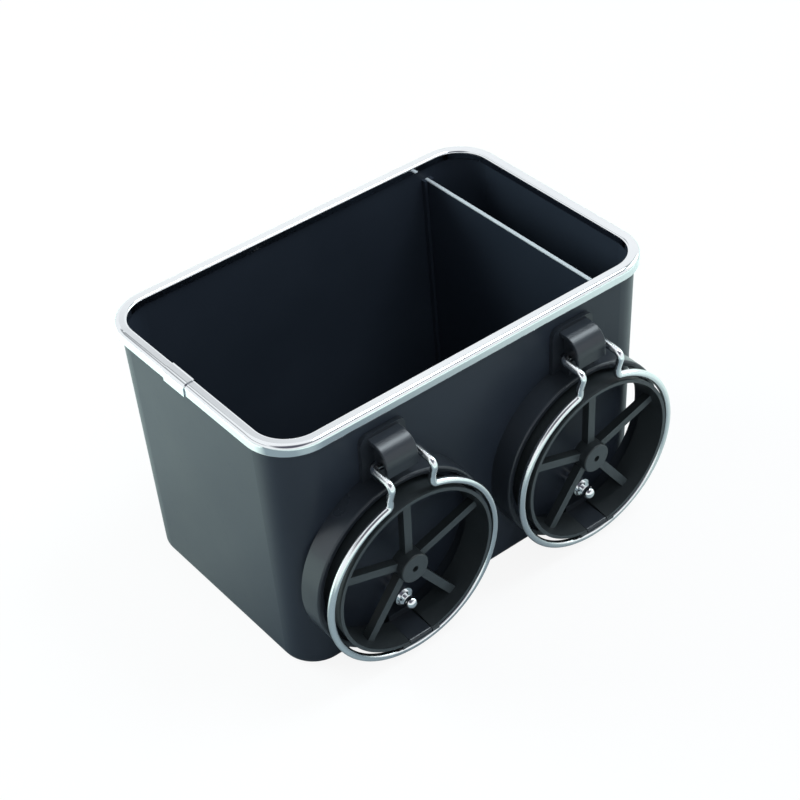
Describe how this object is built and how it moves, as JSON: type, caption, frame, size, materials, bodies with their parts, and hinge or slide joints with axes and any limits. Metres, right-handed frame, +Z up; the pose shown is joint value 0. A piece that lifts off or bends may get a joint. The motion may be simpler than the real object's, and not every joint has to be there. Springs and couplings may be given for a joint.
{
  "type": "car armrest box",
  "caption": "Open car armrest box with a chrome rim strip, an inner divider and fold-out cup holders with wire hoops and spoked trays.",
  "frame": {"origin": "centre of the flat base, on its underside", "axes": "+X along the long side, +Y away from the cup holders, +Z up"},
  "size_m": [0.2121, 0.1554, 0.1326],
  "materials": {
    "box_black": "satin gloss moulded plastic",
    "divider_black": "satin gloss sheet",
    "holder_black": "satin moulded plastic",
    "tray_black": "satin moulded plastic",
    "chrome": "bright polished",
    "steel": "zinc plated"
  },
  "bodies": {
    "box": {"box_shell": "box_black", "edge_trim": "chrome", "trim_joiner": "chrome", "divider": "divider_black", "left_holder_body": "holder_black", "left_tray_pin": "steel", "left_ball_stud": "chrome", "left_stud_washer": "steel", "left_stud_nut": "steel", "left_outer_screw": "steel", "left_inner_screw": "steel", "left_lower_screw": "steel", "right_holder_body": "holder_black", "right_tray_pin": "steel", "right_ball_stud": "chrome", "right_stud_washer": "steel", "right_stud_nut": "steel", "right_outer_screw": "steel", "right_inner_screw": "steel", "right_lower_screw": "steel"},
    "left_hoop": {"left_hoop": "chrome"},
    "left_tray": {"left_tray": "tray_black"},
    "right_hoop": {"right_hoop": "chrome"},
    "right_tray": {"right_tray": "tray_black"}
  },
  "joints": [
    {"name": "left_hoop_fold", "type": "hinge", "parent": "box", "child": "left_hoop", "pos_m": [-0.053, -0.07298, 0.1072], "axis": [-1, 0, 0], "range_deg": [0, 90]},
    {"name": "left_tray_fold", "type": "hinge", "parent": "box", "child": "left_tray", "pos_m": [-0.053, -0.08255, 0.0092], "axis": [1, 0, 0], "range_deg": [0, 90]},
    {"name": "right_hoop_fold", "type": "hinge", "parent": "box", "child": "right_hoop", "pos_m": [0.053, -0.07298, 0.1072], "axis": [-1, 0, 0], "range_deg": [0, 90]},
    {"name": "right_tray_fold", "type": "hinge", "parent": "box", "child": "right_tray", "pos_m": [0.053, -0.08255, 0.0092], "axis": [1, 0, 0], "range_deg": [0, 90]}
  ]
}
